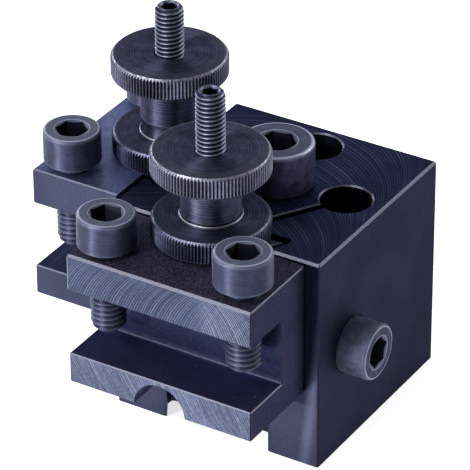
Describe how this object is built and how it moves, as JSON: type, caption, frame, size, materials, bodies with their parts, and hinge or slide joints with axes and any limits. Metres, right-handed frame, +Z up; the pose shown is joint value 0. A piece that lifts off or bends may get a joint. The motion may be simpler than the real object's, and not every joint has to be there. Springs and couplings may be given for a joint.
{
  "type": "lathe tool turret",
  "caption": "Square steel tool block for a small lathe with dovetail slots and quick-change tool holders set by knurled height nuts.",
  "frame": {"origin": "middle of the block's square base", "axes": "+Z up along the centre bolt, -Y out of the face that the front holder hangs on, -X out of the face that the left holder hangs on"},
  "size_m": [0.0628, 0.0626, 0.0684],
  "materials": {
    "blackened_block": "oil-blackened milled steel, satin, with worn bright edges",
    "blackened_holder": "oil-blackened milled steel, satin, with cutter marks and worn bright edges",
    "blackened_screw": "blackened forged steel, smooth satin",
    "knurled_steel": "blackened turned steel with fine turning rings and straight knurling",
    "stud_steel": "blackened thread with bright crests"
  },
  "bodies": {
    "block": {"tool_post_block": "blackened_block"},
    "bolt": {"centre_bolt": "blackened_screw"},
    "side_screw": {"side_clamp_screw": "blackened_screw"},
    "rear_screw": {"rear_clamp_screw": "blackened_screw"},
    "front_tool_holder": {"front_holder": "blackened_holder", "front_height_stud": "stud_steel"},
    "front_lower_nut": {"front_height_nut": "knurled_steel"},
    "front_upper_nut": {"front_lock_nut": "knurled_steel"},
    "front_left_screw": {"front_clamp_screw_left": "blackened_screw"},
    "front_right_screw": {"front_clamp_screw_right": "blackened_screw"},
    "left_tool_holder": {"left_holder": "blackened_holder", "left_height_stud": "stud_steel"},
    "left_lower_nut": {"left_height_nut": "knurled_steel"},
    "left_upper_nut": {"left_lock_nut": "knurled_steel"},
    "left_near_screw": {"left_clamp_screw_near": "blackened_screw"},
    "left_far_screw": {"left_clamp_screw_far": "blackened_screw"}
  },
  "joints": [
    {"name": "front_holder_lift", "type": "slide", "parent": "block", "child": "front_tool_holder", "axis": [0, 0, 1], "range_m": [0, 0.027]},
    {"name": "left_holder_lift", "type": "slide", "parent": "block", "child": "left_tool_holder", "axis": [0, 0, 1], "range_m": [0, 0.027]},
    {"name": "front_height_nut_turn", "type": "hinge", "parent": "front_tool_holder", "child": "front_lower_nut", "pos_m": [-0.00044, -0.02045, 0.042], "axis": [0, 0, 1], "continuous": true},
    {"name": "front_lock_nut_turn", "type": "hinge", "parent": "front_tool_holder", "child": "front_upper_nut", "pos_m": [-0.00044, -0.02045, 0.0542], "axis": [0, 0, 1], "continuous": true},
    {"name": "left_height_nut_turn", "type": "hinge", "parent": "left_tool_holder", "child": "left_lower_nut", "pos_m": [-0.02065, -0.00075, 0.0425], "axis": [0, 0, 1], "continuous": true},
    {"name": "left_lock_nut_turn", "type": "hinge", "parent": "left_tool_holder", "child": "left_upper_nut", "pos_m": [-0.02065, -0.00075, 0.0574], "axis": [0, 0, 1], "continuous": true},
    {"name": "front_left_screw_travel", "type": "slide", "parent": "front_tool_holder", "child": "front_left_screw", "axis": [0, 0, 1], "range_m": [-0.0008, 0.008]},
    {"name": "front_right_screw_travel", "type": "slide", "parent": "front_tool_holder", "child": "front_right_screw", "axis": [0, 0, 1], "range_m": [-0.0016, 0.0074]},
    {"name": "left_near_screw_travel", "type": "slide", "parent": "left_tool_holder", "child": "left_near_screw", "axis": [0, 0, 1], "range_m": [-0.0012, 0.0078]},
    {"name": "left_far_screw_travel", "type": "slide", "parent": "left_tool_holder", "child": "left_far_screw", "axis": [0, 0, 1], "range_m": [-0.001, 0.008]},
    {"name": "side_screw_travel", "type": "slide", "parent": "block", "child": "side_screw", "axis": [1, 0, 0], "range_m": [0, 0.007]},
    {"name": "rear_screw_travel", "type": "slide", "parent": "block", "child": "rear_screw", "axis": [0, 1, 0], "range_m": [0, 0.007]},
    {"name": "centre_bolt_lift", "type": "slide", "parent": "block", "child": "bolt", "axis": [0, 0, 1], "range_m": [0, 0.04]}
  ]
}
